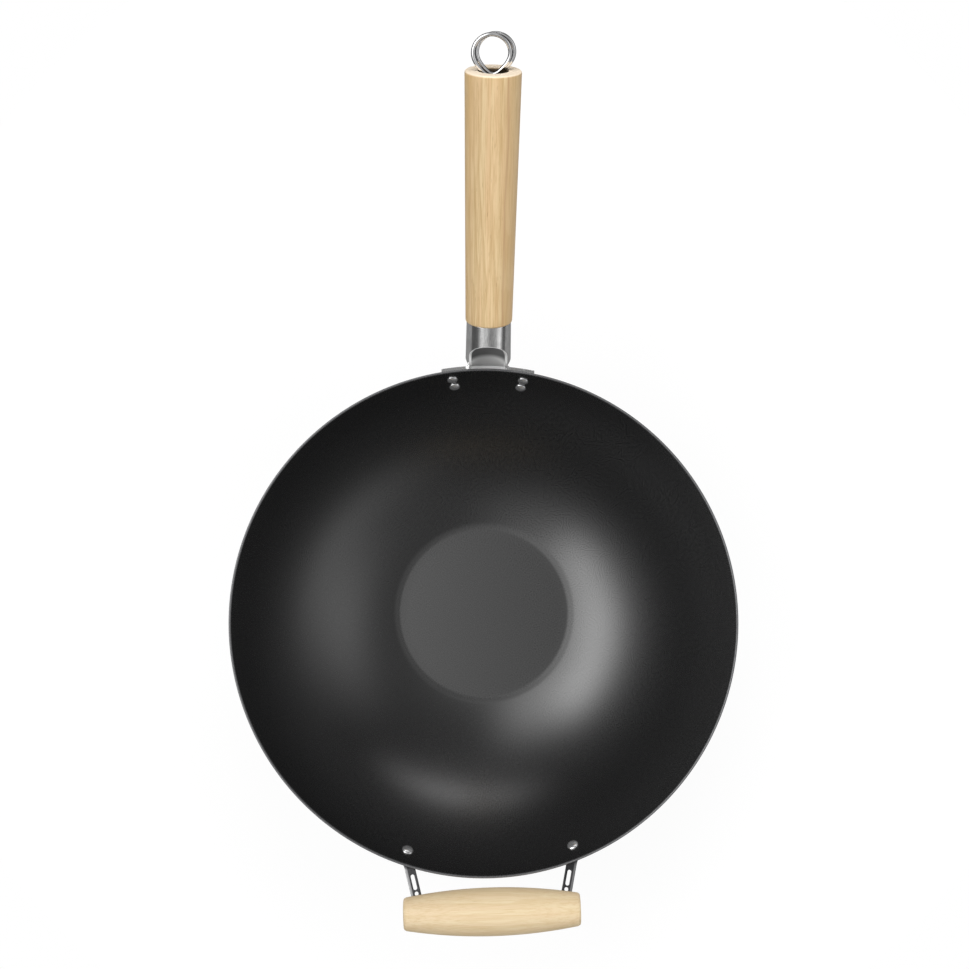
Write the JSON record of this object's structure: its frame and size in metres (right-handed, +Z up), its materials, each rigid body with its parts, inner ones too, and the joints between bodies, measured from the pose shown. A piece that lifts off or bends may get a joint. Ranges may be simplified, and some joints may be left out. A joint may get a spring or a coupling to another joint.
{
  "type": "wok",
  "caption": "Flat-bottomed steel wok with a long round wooden handle in a riveted socket, a wire hanging eye at its end, and a barrel-shaped wooden helper grip on slotted legs.",
  "frame": {"origin": "centre of the flat underside of the base", "axes": "+Z up out of the bowl, +Y from the bowl's centre towards the long handle, +X to the right of the handle seen from above"},
  "size_m": [0.356, 0.6045, 0.2057],
  "materials": {
    "bowl_coat": "satin black",
    "socket_plate": "bright plated",
    "rivet_steel": "polished",
    "handle_wood": "clear satin",
    "grip_wood": "clear satin",
    "eye_chrome": "polished",
    "leg_steel": "dark satin",
    "fixing_steel": "zinc plated"
  },
  "bodies": {
    "root": {"wok_bowl": "bowl_coat", "handle_bracket": "socket_plate", "handle_rivet_1": "rivet_steel", "handle_rivet_2": "rivet_steel", "handle_rivet_3": "rivet_steel", "handle_rivet_4": "rivet_steel", "helper_rivet_left": "rivet_steel", "helper_rivet_right": "rivet_steel", "long_handle": "handle_wood", "eye_rod": "eye_chrome", "rod_washer": "fixing_steel", "socket_plug": "fixing_steel", "rod_nut": "fixing_steel", "helper_grip": "grip_wood", "helper_leg_left": "leg_steel", "helper_leg_right": "leg_steel", "grip_screw_left": "fixing_steel", "grip_screw_right": "fixing_steel"}
  },
  "joints": []
}
